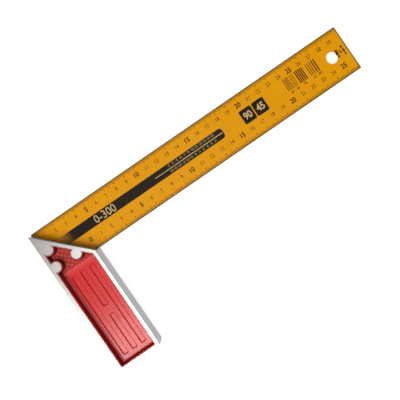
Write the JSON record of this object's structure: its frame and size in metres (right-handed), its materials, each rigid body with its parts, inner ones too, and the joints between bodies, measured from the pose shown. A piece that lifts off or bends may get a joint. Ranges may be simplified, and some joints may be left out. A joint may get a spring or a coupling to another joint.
{
  "type": "try and mitre square",
  "caption": "Fixed try and mitre square: a thin printed steel blade riveted at a right angle into a recessed cast stock lined with moulded grips.",
  "frame": {"origin": "the inner corner of the square, where the plane of the stock's working face meets the blade's inner edge, at half the thickness", "axes": "+X along the blade to its tip, +Y across the blade towards its outer edge and away from the stock's free end, +Z out of the front face"},
  "size_m": [0.3, 0.1315, 0.016],
  "materials": {
    "yellow_lacquer": "satin lacquer with black printed scales",
    "cast_aluminium": "milled on its outer faces",
    "red_plastic": "glossy, moulded",
    "rivet_aluminium": "milled flush"
  },
  "bodies": {
    "root": {"blade": "yellow_lacquer", "stock_frame": "cast_aluminium", "front_grip": "red_plastic", "rear_grip": "red_plastic", "rivet_corner": "rivet_aluminium", "rivet_mitre": "rivet_aluminium", "rivet_outer": "rivet_aluminium"}
  },
  "joints": []
}
